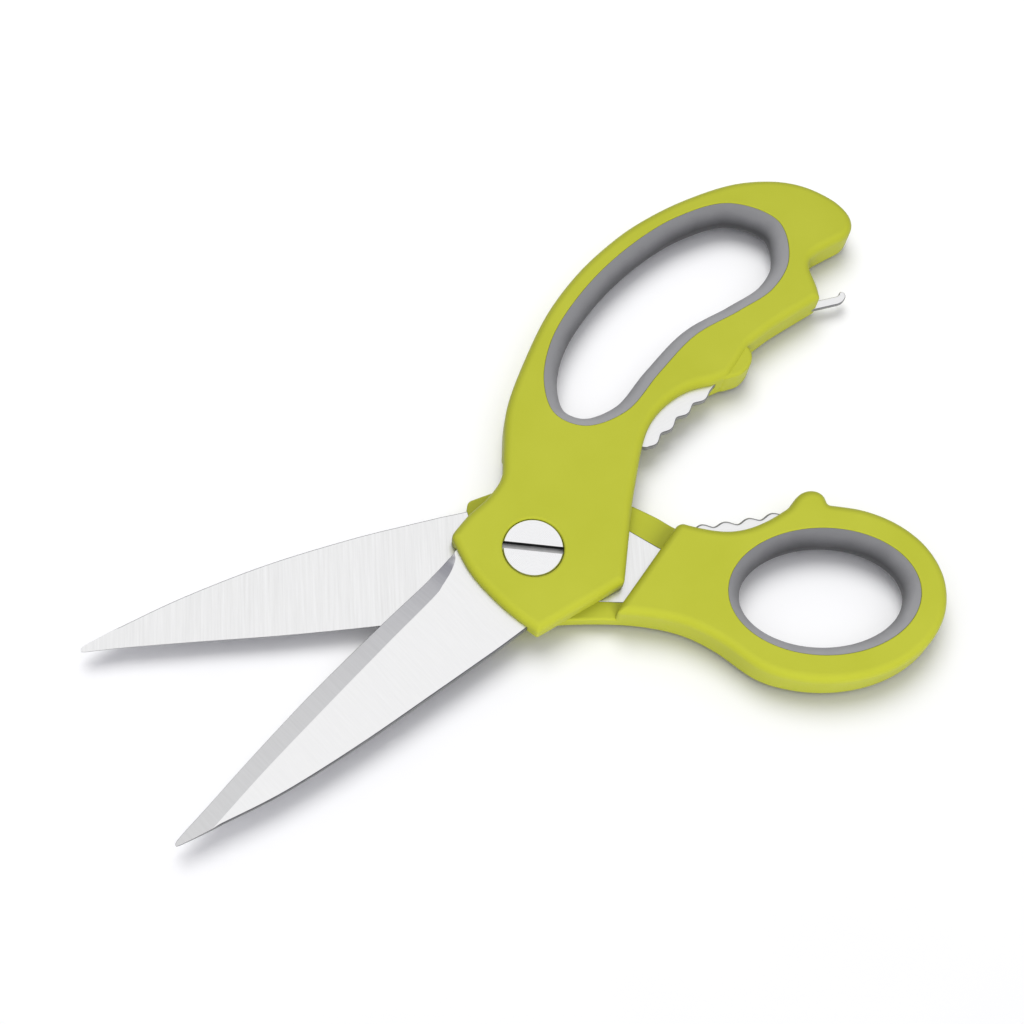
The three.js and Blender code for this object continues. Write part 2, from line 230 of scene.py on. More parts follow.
def turnedMesh(profile, steps=96):
    # [radius, height] rows from the bottom of the axis to the top
    mesh = bmesh.new()
    rows = []
    for radius, height in profile:
        if radius == 0:
            rows.append([mesh.verts.new((0, 0, height))])
        else:
            turns = [2 * math.pi * i / steps for i in range(steps)]
            circle = [(radius * math.cos(a), radius * math.sin(a), height) for a in turns]
            rows.append([mesh.verts.new(point) for point in circle])
    for low, high in zip(rows, rows[1:]):
        for i in range(steps):
            j = (i + 1) % steps
            corners = [low[i % len(low)], low[j % len(low)]]
            corners += [high[j % len(high)], high[i % len(high)]]
            mesh.faces.new(list(dict.fromkeys(corners)))  # a triangle where a row is one point
    bmesh.ops.recalc_face_normals(mesh, faces=mesh.faces)
    return mesh


def pieceFrom(name, mesh):
    data = bpy.data.meshes.new(name)
    mesh.to_mesh(data)
    mesh.free()
    piece = bpy.data.objects.new(name, data)
    scene.collection.objects.link(piece)
    return piece


def joinCut(piece, mesh, operation, folded=False):
    # a boolean with a throwaway helper, applied at once
    # folded is for meshes that cross themselves in tight corners
    helper = pieceFrom("helper", mesh)
    for material in piece.data.materials:
        helper.data.materials.append(material)
    step = piece.modifiers.new("step", "BOOLEAN")
    step.operation = operation
    step.solver = "EXACT"
    step.use_self = folded
    step.object = helper
    bpy.context.view_layer.update()
    graph = bpy.context.evaluated_depsgraph_get()
    result = bpy.data.meshes.new_from_object(piece.evaluated_get(graph))
    piece.modifiers.remove(step)
    old, piece.data = piece.data, result
    bpy.data.meshes.remove(old)
    bpy.data.meshes.remove(helper.data)


# What booleans leave behind, in millimetres
cleaning = {
    "merge": 0.006,
    "sliver": 0.002,
    "holeSides": 8,
}


def cleanMesh(mesh):
    # takes away doubled points, flaps, loose edges and pinholes
    bmesh.ops.remove_doubles(mesh, verts=mesh.verts, dist=cleaning["merge"])
    bmesh.ops.dissolve_degenerate(mesh, edges=mesh.edges, dist=cleaning["sliver"])
    flaps = set()
    for edge in mesh.edges:
        bySize = sorted(edge.link_faces, key=lambda face: face.calc_area())
        flaps.update(bySize[:max(0, len(bySize) - 2)])
    bmesh.ops.delete(mesh, geom=list(flaps), context="FACES_ONLY")
    loose = [edge for edge in mesh.edges if not edge.link_faces]
    bmesh.ops.delete(mesh, geom=loose, context="EDGES")
    rims = [edge for edge in mesh.edges if len(edge.link_faces) == 1]
    bmesh.ops.holes_fill(mesh, edges=rims, sides=cleaning["holeSides"])
    stray = [point for point in mesh.verts if not point.link_faces]
    bmesh.ops.delete(mesh, geom=stray, context="VERTS")
    bmesh.ops.recalc_face_normals(mesh, faces=mesh.faces)


def finishPiece(piece, place, body, creaseAngle):
    data = piece.data
    node = piece.name.replace("visual_", "")
    mesh = bmesh.new()
    mesh.from_mesh(data)
    cleanMesh(mesh)
    mesh.to_mesh(data)
    mesh.free()
    data.transform(place @ Matrix.Scale(mm, 4))
    data.polygons.foreach_set("use_smooth", [True] * len(data.polygons))
    data.set_sharp_from_angle(angle=math.radians(creaseAngle))
    weighted = piece.modifiers.new("weighted", "WEIGHTED_NORMAL")
    weighted.keep_sharp = True
    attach(piece, body)
    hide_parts(node)
    print(piece.name, len(data.polygons), "faces")


# Both halves share one drawing frame; the lower one is turned over
halves = {
    "opening": 27.7,
    "middle": 5.0,
    "steelInner": 0.15,
    "steelOuter": 2.35,
    "seat": 0.3,  # room above the blade at the front of the bolster
    "gap": 0.06,  # room round each piece in its pocket
}


def halfPlace(side):
    place = Matrix.Translation((0, 0, halves["middle"] * mm))
    place = place @ Matrix.Rotation(math.radians(side * halves["opening"] / 2), 4, "Z")
    return place if side > 0 else place @ Matrix.Rotation(math.pi, 4, "X")


# Materials: a noise is scale, detail and roughness, a bite is strength and depth in metres
def newMaterial(name):
    material = bpy.data.materials.new(name)
    material.use_nodes = True
    nodes = material.node_tree.nodes
    return material, nodes, material.node_tree.links, nodes["Principled BSDF"]


def objectCoordinates(nodes, links, scale, turn=0.0):
    # turned first, so that the scale works along the turned axes
    where = nodes.new("ShaderNodeTexCoord")
    mapping = nodes.new("ShaderNodeMapping")
    mapping.vector_type = "TEXTURE"
    mapping.inputs["Rotation"].default_value = (0, 0, math.radians(turn))
    mapping.inputs["Scale"].default_value = [1 / s for s in scale]
    links.new(where.outputs["Object"], mapping.inputs["Vector"])
    return mapping.outputs["Vector"]


def noiseNode(nodes, links, vector, scale, detail, roughness):
    noise = nodes.new("ShaderNodeTexNoise")
    noise.inputs["Scale"].default_value = scale
    noise.inputs["Detail"].default_value = detail
    noise.inputs["Roughness"].default_value = roughness
    links.new(vector, noise.inputs["Vector"])
    return noise.outputs["Fac"]


def rampNode(nodes, links, factor, stops):
    ramp = nodes.new("ShaderNodeValToRGB")
    while len(ramp.color_ramp.elements) < len(stops):
        ramp.color_ramp.elements.new(0.5)
    for element, (place, colour) in zip(ramp.color_ramp.elements, stops):
        element.position = place
        element.color = (*colour, 1.0)
    links.new(factor, ramp.inputs["Fac"])
    return ramp.outputs["Color"]


def rangeNode(nodes, links, factor, low, high):
    spread = nodes.new("ShaderNodeMapRange")
    spread.inputs["From Min"].default_value = 0.25
    spread.inputs["From Max"].default_value = 0.75
    spread.inputs["To Min"].default_value = low
    spread.inputs["To Max"].default_value = high
    links.new(factor, spread.inputs["Value"])
    return spread.outputs["Result"]


def mathNode(nodes, links, operation, first, second=None):
    node = nodes.new("ShaderNodeMath")
    node.operation = operation
    links.new(first, node.inputs[0])
    if second is not None:
        links.new(second, node.inputs[1])
    return node.outputs["Value"]


def bumpNode(nodes, links, shader, height, strength, distance):
    bump = nodes.new("ShaderNodeBump")
    bump.inputs["Strength"].default_value = strength
    bump.inputs["Distance"].default_value = distance
    links.new(height, bump.inputs["Height"])
    links.new(bump.outputs["Normal"], shader.inputs["Normal"])


limePlastic = {
    "deep": (0.298, 0.316, 0.0205),
    "pale": (0.315, 0.332, 0.025),
    "gloss": (0.42, 0.52),
    "cloud": (60, 3, 0.5),
    "grain": (2600, 2, 0.6),  # spark-eroded mould texture
    "bite": (0.12, 0.00004),
    "shine": 0.22,
}


def makeLime():
    material, nodes, links, shader = newMaterial("lime satin moulding")
    where = objectCoordinates(nodes, links, (1, 1, 1))
    cloud = noiseNode(nodes, links, where, *limePlastic["cloud"])
    tones = [(0.3, limePlastic["deep"]), (0.7, limePlastic["pale"])]
    links.new(rampNode(nodes, links, cloud, tones), shader.inputs["Base Color"])
    grain = noiseNode(nodes, links, where, *limePlastic["grain"])
    links.new(rangeNode(nodes, links, grain, *limePlastic["gloss"]), shader.inputs["Roughness"])
    bumpNode(nodes, links, shader, grain, *limePlastic["bite"])
    shader.inputs["Specular IOR Level"].default_value = limePlastic["shine"]
    return material


softGrip = {
    # painted light: the walls are painted dark as shade and the lips pale as a highlight
    "wall": (0.072, 0.072, 0.074),
    "lip": (0.305, 0.305, 0.309),
    "mottle": 0.12,
    "gloss": (0.58, 0.72),
    "cloud": (90, 4, 0.55),
    "grain": (3400, 2, 0.6),
    "bite": (0.2, 0.00005),
    "sheen": (0.15, 0.5),  # weight, roughness
}


def makeGrip():
    material, nodes, links, shader = newMaterial("soft grey liner")
    where = objectCoordinates(nodes, links, (1, 1, 1))
    facing = nodes.new("ShaderNodeNewGeometry")  # painted light: the up-facing lips are painted paler as a highlight, the upright walls darker as shade
    split = nodes.new("ShaderNodeSeparateXYZ")
    links.new(facing.outputs["Normal"], split.inputs["Vector"])
    upFacingPaintedLight = mathNode(nodes, links, "ABSOLUTE", split.outputs["Z"])
    cloud = noiseNode(nodes, links, where, *softGrip["cloud"])
    mottle = rangeNode(nodes, links, cloud, -softGrip["mottle"], softGrip["mottle"])
    tone = mathNode(nodes, links, "ADD", upFacingPaintedLight, mottle)
    # painted light: from painted shade on upright walls to a painted highlight on up-facing lips
    tones = [(0.1, softGrip["wall"]), (0.8, softGrip["lip"])]
    links.new(rampNode(nodes, links, tone, tones), shader.inputs["Base Color"])
    grain = noiseNode(nodes, links, where, *softGrip["grain"])
    links.new(rangeNode(nodes, links, grain, *softGrip["gloss"]), shader.inputs["Roughness"])
    bumpNode(nodes, links, shader, grain, *softGrip["bite"])
    weight, roughness = softGrip["sheen"]
    shader.inputs["Sheen Weight"].default_value = weight
    shader.inputs["Sheen Roughness"].default_value = roughness
    return material


# Steel: tones and gloss of the fine lines, how many lines a metre each way, and how deep they bite
steel = {
    "face": {"tones": (0.89, 0.95), "gloss": (0.33, 0.39), "lines": (1900, 120, 120), "bite": 0.04},
    # painted reflection: the grind is painted darker than the face, for the dimmer light its tilted
    # facet mirrors
    "grind": {"tones": (0.68, 0.76), "gloss": (0.28, 0.35), "lines": (1800, 60, 60), "bite": 0.08},
    "inner": {"tones": (0.80, 0.96), "gloss": (0.28, 0.38), "lines": (1500, 50, 50), "bite": 0.13},
    # painted shade: side is a dark copy of the steel for edges and walls, standing in for the shade
    # they mirror
    "side": {"tones": (0.26, 0.40), "gloss": (0.35, 0.50), "lines": (60, 60, 2500), "bite": 0.30},
    "jaw": {"tones": (0.88, 0.97), "gloss": (0.32, 0.44), "lines": (400, 2200, 400), "bite": 0.12},
    # painted shade: the slot's floor is painted grey and its walls near black, for the shade inside
    # the slot
    "slotFloorShade": {"tones": (0.45, 0.80), "gloss": (0.40, 0.55), "lines": [120] * 3, "bite": 0.10},
    "slotWallShade": {"tones": (0.015, 0.04), "gloss": (0.5, 0.7), "lines": [500] * 3, "bite": 0.20},
    "noise": (1, 6, 0.65),
    "depth": 0.00002,
    "upperTurn": 13.85,
    "lowerTurn": -25.0,
}


def makeSteel(kind, turn=0.0):
    # ground steel: fine lines, each of a slightly different tone
    own = steel[kind]
    material, nodes, links, shader = newMaterial(kind + " steel")
    lines = objectCoordinates(nodes, links, own["lines"], turn)
    scratch = noiseNode(nodes, links, lines, *steel["noise"])
    deep, pale = own["tones"]
    tones = [(0.25, [deep] * 3), (0.75, [pale] * 3)]
    links.new(rampNode(nodes, links, scratch, tones), shader.inputs["Base Color"])
    links.new(rangeNode(nodes, links, scratch, *own["gloss"]), shader.inputs["Roughness"])
    bumpNode(nodes, links, shader, scratch, own["bite"], steel["depth"])
    shader.inputs["Metallic"].default_value = 1.0
    return material


pivotFinish = {
    "deep": (0.84, 0.84, 0.85),
    "pale": (0.93, 0.93, 0.94),
    "gloss": (0.18, 0.28),
    "rings": {"Scale": 900, "Distortion": 1.5, "Detail": 3, "Detail Scale": 2},
    "bite": (0.15, 0.00001),
}


def makeTurnedSteel():
    # turned steel: rings round the pivot's axis
    material, nodes, links, shader = newMaterial("turned pivot steel")
    where = objectCoordinates(nodes, links, (1, 1, 1))
    wave = nodes.new("ShaderNodeTexWave")
    wave.wave_type = "RINGS"
    wave.rings_direction = "Z"
    for name, value in pivotFinish["rings"].items():
        wave.inputs[name].default_value = value
    links.new(where, wave.inputs["Vector"])
    rings = wave.outputs["Fac"]
    tones = [(0.0, pivotFinish["deep"]), (1.0, pivotFinish["pale"])]
    links.new(rampNode(nodes, links, rings, tones), shader.inputs["Base Color"])
    links.new(rangeNode(nodes, links, rings, *pivotFinish["gloss"]), shader.inputs["Roughness"])
    bumpNode(nodes, links, shader, rings, *pivotFinish["bite"])
    shader.inputs["Metallic"].default_value = 1.0
    return material


lime = makeLime()
liner = makeGrip()
# the side steel, on the blades', jaws' and hook's edges, is painted shade
bladeKinds = ("face", "grind", "inner", "side")
upperSteels = [makeSteel(kind, steel["upperTurn"]) for kind in bladeKinds]
lowerSteels = [makeSteel(kind, steel["lowerTurn"]) for kind in bladeKinds]
jawSteels = [makeSteel("jaw"), makeSteel("side")]
slotShadeSteels = [makeSteel("slotWallShade"), makeSteel("slotFloorShade")]
pivotSteel = makeTurnedSteel()
print("materials made")


# Blades: shares of the length, and the outlines at those places
blade = {
    "tip": 105.0,
    "root": 12.0,
    "tipThickness": 1.2,
    "edgeThickness": 0.35,
    "tipLand": 0.1,
    "chamfer": 0.22,
    "chamferShare": 0.3,
    "edgeLand": (0.12, 0.05, 0.1),  # width of the honed land, its rise and its drop
    "along": [0, 0.02, 0.03, 0.045, 0.065, 0.1, 0.14, 0.3, 0.52, 0.73, 0.89, 0.955, 0.99, 1],
    "grind": [0.3, 0.4, 1.5, 2.3, 2.9, 3.6, 4.1, 4.5, 4.8, 4.5, 4.4, 4.4, 4.4, 4.4],
    "eye": 4.3,
    "eyeLevels": (-1, 4),
    "eyeSteps": 64,
    "tangFront": [
        (-12, -14.5), (0, -12.6), (13, -11.9), (13, 13), (-9, 13.6), (-24, 1), (-29.5, -4.6),
    ],
    "tangSpacing": 0.5,
    "tangSoften": 0.3,
    "tangRound": 0.15,
    "crease": 8,
}
upperBlade = {
    "edge": [
        -12.2, -11.93, -11.8, -11.6, -11.3, -10.9, -10.5, -9.4, -7.4, -4.7,
        -2.3, -1.4, -0.8, -0.35,
    ],
    "spine": [13.1, 13.01, 12.97, 12.9, 12.8, 12.6, 12.3, 11, 9.1, 6.4, 2.9, 1.4, 0.5, 0.12],
    "tail": [(-36, -7.5), (-34.5, -9.8), (-24.5, -14.6), (-18, -16.2)],
}
lowerBlade = {
    "edge": [
        -12.2, -11.89, -11.73, -11.5, -11.1, -10.6, -10.2, -8.9, -6.4, -3.5,
        -1.4, -0.7, -0.35, -0.12,
    ],
    "spine": [14.1, 14.1, 14.1, 14.1, 14.1, 14, 13.9, 13.3, 11.3, 7.8, 4, 2.2, 1.1, 0.5],
    "tail": [(-36, -10), (-33, -19), (-18, -16.2)],
}


def bladeMesh(own):
    # sections from root to tip; each runs from the cutting edge over the inner face to the grind
    inner = halves["steelInner"]
    full = halves["steelOuter"] - inner
    length = blade["tip"] - blade["root"]
    land, rise, drop = blade["edgeLand"]
    places = [blade["root"] + share * length for share in blade["along"]]
    edges = splineThrough(list(zip(places, own["edge"])))
    spines = splineThrough(list(zip(places, own["spine"])))
    grinds = splineThrough(list(zip(places, blade["grind"])))
    mesh = bmesh.new()
    rows = []
    for (x, edge), (_, back), (_, fullGrind) in zip(edges, spines, grinds):
        share = (x - blade["root"]) / length
        thickness = full + share * (blade["tipThickness"] - full)
        grind = min(fullGrind, back - edge - blade["tipLand"])
        low = inner + blade["edgeThickness"]
        high = low + (thickness - blade["edgeThickness"]) * grind / fullGrind
        room = min(back - edge - grind, high - inner)
        ease = min(blade["chamfer"], blade["chamferShare"] * room)
        section = [
            (edge, inner), (back - ease, inner), (back, inner + ease), (back, high - ease),
            (back - ease, high), (edge + grind, high),
            (edge + land, low + rise), (edge, low - drop),
        ]
        rows.append([mesh.verts.new((x, y, z)) for y, z in section])
    # the edges take index 3, the dark side steel of painted shade
    finish = [2, 3, 3, 3, 0, 1, 3, 3]  # inner face, edges, outer face, grind
    for a, b in zip(rows, rows[1:]):
        for k in range(len(finish)):
            n = (k + 1) % len(finish)
            mesh.faces.new([a[k], a[n], b[n], b[k]]).material_index = finish[k]
    for row in (rows[0], rows[-1]):
        mesh.faces.new(row).material_index = 3
    bmesh.ops.recalc_face_normals(mesh, faces=mesh.faces)
    return mesh


def tangRing(own):
    points = np.array(blade["tangFront"] + own["tail"], float)
    return evenRing(points, blade["tangSpacing"], blade["tangSoften"])


def makeBlade(name, own, side, body):
    piece = pieceFrom(name, bladeMesh(own))
    for material in upperSteels if side > 0 else lowerSteels:
        piece.data.materials.append(material)
    ease = blade["tangRound"]
    profile = wallProfile(halves["steelInner"], halves["steelOuter"], ease, ease, 2, 0.1)
    tang = slabMesh(tangRing(own), profile)
    # the tang's edges take the side steel, painted dark as shade
    for face in tang.faces:
        up = face.normal.z
        face.material_index = 0 if up > flatNormal else 2 if up < -flatNormal else 3
    joinCut(piece, tang, "UNION")
    low, high = blade["eyeLevels"]
    eyeProfile = [(0, low), (blade["eye"], low), (blade["eye"], high), (0, high)]
    eye = turnedMesh(eyeProfile, blade["eyeSteps"])
    for face in eye.faces:
        face.material_index = 3
    joinCut(piece, eye, "DIFFERENCE")
    finishPiece(piece, halfPlace(side), body, blade["crease"])


makeBlade("visual_upper_blade", upperBlade, 1, "upper_half")
makeBlade("visual_lower_blade", lowerBlade, -1, "lower_half")
print("blades made")


# Cracker jaws: valleys between round teeth, and the rooted edge
jaw = {
    "valleys": [(-38.9, -1.8), (-44.2, -2.3), (-50, -2.9), (-55.7, -3), (-61.6, -2.9)],
    "tooth": 1.05,
    "toothShape": 1.5,
    "toothSteps": 16,
    "root": [
        (-63.8, -3.4), (-62.6, -6.2), (-56, -7.9), (-50, -8.9), (-44, -8.2),
        (-38.6, -6.4), (-37, -3.9),
    ],
    "spacing": 0.22,
    "soften": 0.18,
    "round": 0.3,
    "bevel": 0.8,
    "faceNormal": 0.95,
    "crease": 40,
}


def jawRing():
    points = []
    for (x0, y0), (x1, y1) in zip(jaw["valleys"], jaw["valleys"][1:]):
        for step in range(jaw["toothSteps"]):
            share = step / jaw["toothSteps"]
            lift = jaw["tooth"] * math.sin(math.pi * share) ** jaw["toothShape"]
            points.append((x0 + share * (x1 - x0), y0 + share * (y1 - y0) + lift))
    points += [jaw["valleys"][-1]] + jaw["root"]
    return evenRing(np.array(points, float), jaw["spacing"], jaw["soften"])


def paintEdgeShade(mesh):
    # painted shade: faces that don't point straight up or down take the dark side steel
    for face in mesh.faces:
        face.material_index = 0 if abs(face.normal.z) > jaw["faceNormal"] else 1
    return mesh


def makeJaw(name, side, body):
    low, high = halves["steelInner"], halves["steelOuter"]
    profile = wallProfile(low, high, jaw["bevel"], jaw["round"], 5, 0.1)
    piece = pieceFrom(name, paintEdgeShade(slabMesh(jawRing(), profile)))
    for material in jawSteels:
        piece.data.materials.append(material)
    finishPiece(piece, halfPlace(side), body, jaw["crease"])


makeJaw("visual_upper_jaw", 1, "upper_half")
makeJaw("visual_lower_jaw", -1, "lower_half")


# Opener hook: a flat strip and its curled end
hook = {
    "level": -2.1,
    "thickness": 1.2,
    "rootX": -91.5,
    "angle": 154,
    "curl": [
        (-104.5, -0.2), (-105.7, 0.1), (-107, -0.1), (-107.8, -0.6), (-108.1, -1.2),
        (-108, -1.8), (-107.6, -2.2), (-107.1, -2.2), (-106.8, -1.9), (-106, -1.9),
    ],
    "spacing": 0.12,
    "soften": 0.08,
    "round": 0.25,
    "pocketSpacing": 0.3,
    "crease": 40,
}


def hookRoot(point):
    slope = math.tan(math.radians(hook["angle"]))
    return (hook["rootX"], point[1] + (hook["rootX"] - point[0]) * slope)


def makeHook():
    curl = splineThrough(hook["curl"])
    points = np.vstack([[hookRoot(hook["curl"][0])], curl, [hookRoot(hook["curl"][-1])]])
    low, ease = hook["level"], hook["round"]
    profile = wallProfile(low, low + hook["thickness"], ease, ease, 4, 0.1)
    ring = evenRing(points, hook["spacing"], hook["soften"])
    piece = pieceFrom("visual_opener_hook", paintEdgeShade(slabMesh(ring, profile)))
    for material in jawSteels:
        piece.data.materials.append(material)
    finishPiece(piece, halfPlace(1), "upper_half", hook["crease"])


makeHook()
print("jaws and hook made")


# Handles: one moulding each, with round edges, a loop, a pivot bore and pockets for the steel
handle = {
    "half": 5.0,
    "round": 2.0,
    "loopRound": 0.2,
    "boreRadius": 7.2,
    "boreRound": 0.5,
    "boreSteps": 110,
    "soften": 0.4,
    "spacing": 0.4,
    "frontCorner": (12.2, -14.8),
    "backCorner": (-10.6, 19.9),
    "stepEnd": (-26, 6.4),  # the step's line runs from the other half's back corner to here
    "stepClearance": 2.0,
    "stepCorners": 1.2,
    "stepReach": 8,  # how far beyond the step the ring keeps to the outline
    "stepFlare": 0.02,
    "stepBox": (80, 150),  # the box beyond, well past the handle: sideways and away
    "stepBoxSteps": 40,
    "stepBelow": 0.015,  # a hair lower than the moulding's own face
    "stepAbove": 1,
    "plateRound": 0.6,
    "plateBelow": 2,
    "plateWider": 1,
    "crease": 32,
}
upperHandle = {
    "front": [(14.6, -6), (15, 1), (14.6, 7.5)],
    "tabX": 13.6,
    "tab": 0.5,
    "spineWall": 2.9,
    "shankCorner": (-26, 6.4),
    "stretches": [
        [(-37.5, -2.3), (-44, -5.8), (-50.5, -6.9), (-57, -6.1), (-62.5, -3.6)],  # jaw recess
        [(-66.5, -2.5), (-69.3, -3), (-73, -4.1), (-76.6, -5.2)],  # behind the stop
        [(-84, -5), (-91, -4.2), (-99.6, -3)],
        [(-101.5, -6.1), (-103.5, -10.4), (-105.6, -12.3), (-108.6, -12.5)],  # opener notch
    ],
    "stop": [
        (-64.5, -4.5), (-65.6, -2.6), (-67.5, -1.6), (-70, -0.8), (-73.3, -1.3), (-75.6, -3),
        (-76.3, -5), (-75.5, -8), (-66, -8),
    ],
    "stopSpacing": 0.3,
    "stopDrop": 1.0,
    "stopRound": 0.9,
    "roundCorners": [(12.2, -14.8, 0.6)],
    "outer": [
        (-113, -11.7), (-117.2, -11), (-120.6, -12.2), (-122.5, -15.5), (-122.4, -21),
        (-119.5, -28.5), (-114, -35), (-105, -40.9), (-92, -45.3), (-80, -47.5), (-70, -47.9),
        (-58, -46.8), (-45, -43.5), (-32, -37.7), (-20, -30.9), (-12, -23.3), (-7, -18.4),
        (-1, -16.5), (5.5, -16.1),
    ],
    "loop": [
        (-27.2, -21.8), (-30.6, -14.9), (-40.8, -11.4), (-54, -13.7), (-68, -15.4), (-81, -13.3),
        (-92, -12.3), (-101, -15.7), (-106.7, -25), (-101, -36.5), (-88, -42.2), (-72, -43.8),
        (-55, -42), (-40, -37), (-30.7, -29.6),
    ],
}
lowerHandle = {
    "front": [(14.3, -6), (14.2, 1), (13.3, 7.5)],
    "tabX": 12.0,
    "tab": 0.8,
    "spineWall": 2.5,
    "shankCorner": (-26.5, 7.1),
    "recess": [(-31.3, 3.0), (-36, -1.4), (-44, -5.2), (-50, -6.1), (-56, -5.2), (-61.8, -3.2)],
    "stop": [(-64.8, -0.8), (-67.2, 0), (-69.5, -0.5), (-71, -2.1)],
    "loopCentre": (-63.5, -25.5),
    "loopHalf": (22.8, 15.8),
    "loopTilt": 9.5,
    "loopSteps": 400,
    "rim": 6.4,
    "rimSteps": 11,
    "rimEnds": [(-71.5, -4.7), (-42.3, -39.4)],
    "roundCorners": [(11.2, 16.6, 0.6)],
    "outer": [(-36, -31.6), (-29, -25.7), (-20, -21.5), (-10, -18.7), (0, -16.8), (6, -16.1)],
}


def thumbLoopPoint(turn, outwards):
    size = np.array(lowerHandle["loopHalf"])
    direction = np.array([math.cos(turn), math.sin(turn)])
    normal = direction / size
    x, y = direction * size + outwards * normal / np.linalg.norm(normal)
    tilt = math.radians(lowerHandle["loopTilt"])
    turned = [x * math.cos(tilt) - y * math.sin(tilt), x * math.sin(tilt) + y * math.cos(tilt)]
    return np.array(turned) + lowerHandle["loopCentre"]


def thumbLoopTurn(place):
    x, y = np.array(place) - lowerHandle["loopCentre"]
    tilt = math.radians(-lowerHandle["loopTilt"])
    x, y = x * math.cos(tilt) - y * math.sin(tilt), x * math.sin(tilt) + y * math.cos(tilt)
    halfLength, halfWidth = (half + lowerHandle["rim"] for half in lowerHandle["loopHalf"])
    return math.atan2(y / halfWidth, x / halfLength) % (2 * math.pi)


def bolsterStart(own, spine):
    tabX = own["tabX"]
    front = [handle["frontCorner"]] + own["front"] + [(tabX, spine + halves["seat"])]
    tabCorner = (tabX - own["tab"], spine + own["spineWall"])
    straight = [tabCorner, handle["backCorner"], own["shankCorner"]]
    return [splineThrough(front), np.array(straight, float)]


def outlineOf(parts, stretches, roundCorners):
    for stretch in stretches:
        parts.append(splineThrough([parts[-1][-1]] + [tuple(p) for p in stretch])[1:])
    ring = evenRing(np.vstack(parts)[:-1], handle["spacing"], handle["soften"])
    return easeCorners(ring, handle["spacing"], roundCorners)


def upperOutline():
    stretches = upperHandle["stretches"] + [upperHandle["outer"] + [handle["frontCorner"]]]
    bolster = bolsterStart(upperHandle, upperBlade["spine"][0])
    return outlineOf(bolster, stretches, upperHandle["roundCorners"])


def lowerOutline():
    start, end = (thumbLoopTurn(place) for place in lowerHandle["rimEnds"])
    steps = lowerHandle["rimSteps"]
    turns = [start + (end - start) * i / steps for i in range(steps + 1)]
    rim = [thumbLoopPoint(turn, lowerHandle["rim"]) for turn in turns]
    stretches = [
        lowerHandle["recess"],
        lowerHandle["stop"] + rim[:1],
        rim[1:] + lowerHandle["outer"] + [handle["frontCorner"]],
    ]
    bolster = bolsterStart(lowerHandle, lowerBlade["spine"][0])
    return outlineOf(bolster, stretches, lowerHandle["roundCorners"])


def upperLoop():
    return evenRing(closedSpline(upperHandle["loop"]), handle["spacing"])


def lowerLoop():
    steps = lowerHandle["loopSteps"]
    points = [thumbLoopPoint(2 * math.pi * i / steps, 0) for i in range(steps)]
    return evenRing(np.array(points), handle["spacing"])


def stepLine():
    # the step runs along the other half's bolster, a little clear of it
    ends = (handle["backCorner"], handle["stepEnd"])
    corner, shank = (np.array([x, -y]) for x, y in ends)
    along = (shank - corner) / np.linalg.norm(shank - corner)
    away = np.array([-along[1], along[0]])
    return corner + away * handle["stepClearance"], away


def deepMesh(outline):
    # all that lies beyond the step; its ring rounds the step's ends and then leaves the outline
    foot, away = stepLine()
    beyond = (outline - foot) @ away
    order = np.roll(np.arange(len(outline)), -int(np.argmin(beyond)))
    deep = outline[order][beyond[order] > 0]
    corners = [(*deep[0], handle["stepCorners"]), (*deep[-1], handle["stepCorners"])]
    ring = easeCorners(evenRing(deep, handle["spacing"]), handle["spacing"], corners)
    far = np.clip((ring - foot) @ away, 0, None)
    run = np.roll(ring, -1, axis=0) - np.roll(ring, 1, axis=0)
    outwards = np.column_stack([run[:, 1], -run[:, 0]]) / np.linalg.norm(run, axis=1)[:, None]
    ring = ring + outwards * (handle["stepFlare"] * far ** 2)[:, None]
    order = np.roll(np.arange(len(ring)), -int(np.argmax(far)))
    near = order[far[order] < handle["stepReach"]]
    start, end = near[0], near[-1]
    sideways, beyondStep = handle["stepBox"]
    startOut, endOut = (ring[i] + outwards[i] * sideways for i in (start, end))
    startFar, endFar = (point + away * beyondStep for point in (startOut, endOut))
    box = [ring[end], endOut, endFar, startFar, startOut, ring[start]]
    steps = handle["stepBoxSteps"]
    shares = np.arange(1, steps) / steps
    tail = [a + (b - a) * share for a, b in zip(box, box[1:]) for share in shares]
    low, high = -handle["half"] - handle["stepBelow"], handle["half"] - handle["stepAbove"]
    profile = wallProfile(low, high, handle["round"], 0.1)
    return slabMesh(np.vstack([ring[near], tail]), profile)


def plateMesh(outline):
    # all below the steel, with a rim that rounds the plate's lower edge
    level, ease = halves["steelInner"], handle["plateRound"]
    turns = [math.radians(90 * i / 6) for i in range(7)]
    wider = -handle["plateWider"]
    profile = [(wider, -handle["half"] - handle["plateBelow"]), (wider, level + ease)]
    profile += [(ease * (1 - math.cos(a)), level + ease * (1 - math.sin(a))) for a in turns]
    profile.append((ease + 0.15, level))
    return slabMesh(outline, profile)


def meshOf(piece):
    mesh = bmesh.new()
    mesh.from_mesh(piece.data)
    bpy.data.meshes.remove(piece.data)
    return mesh


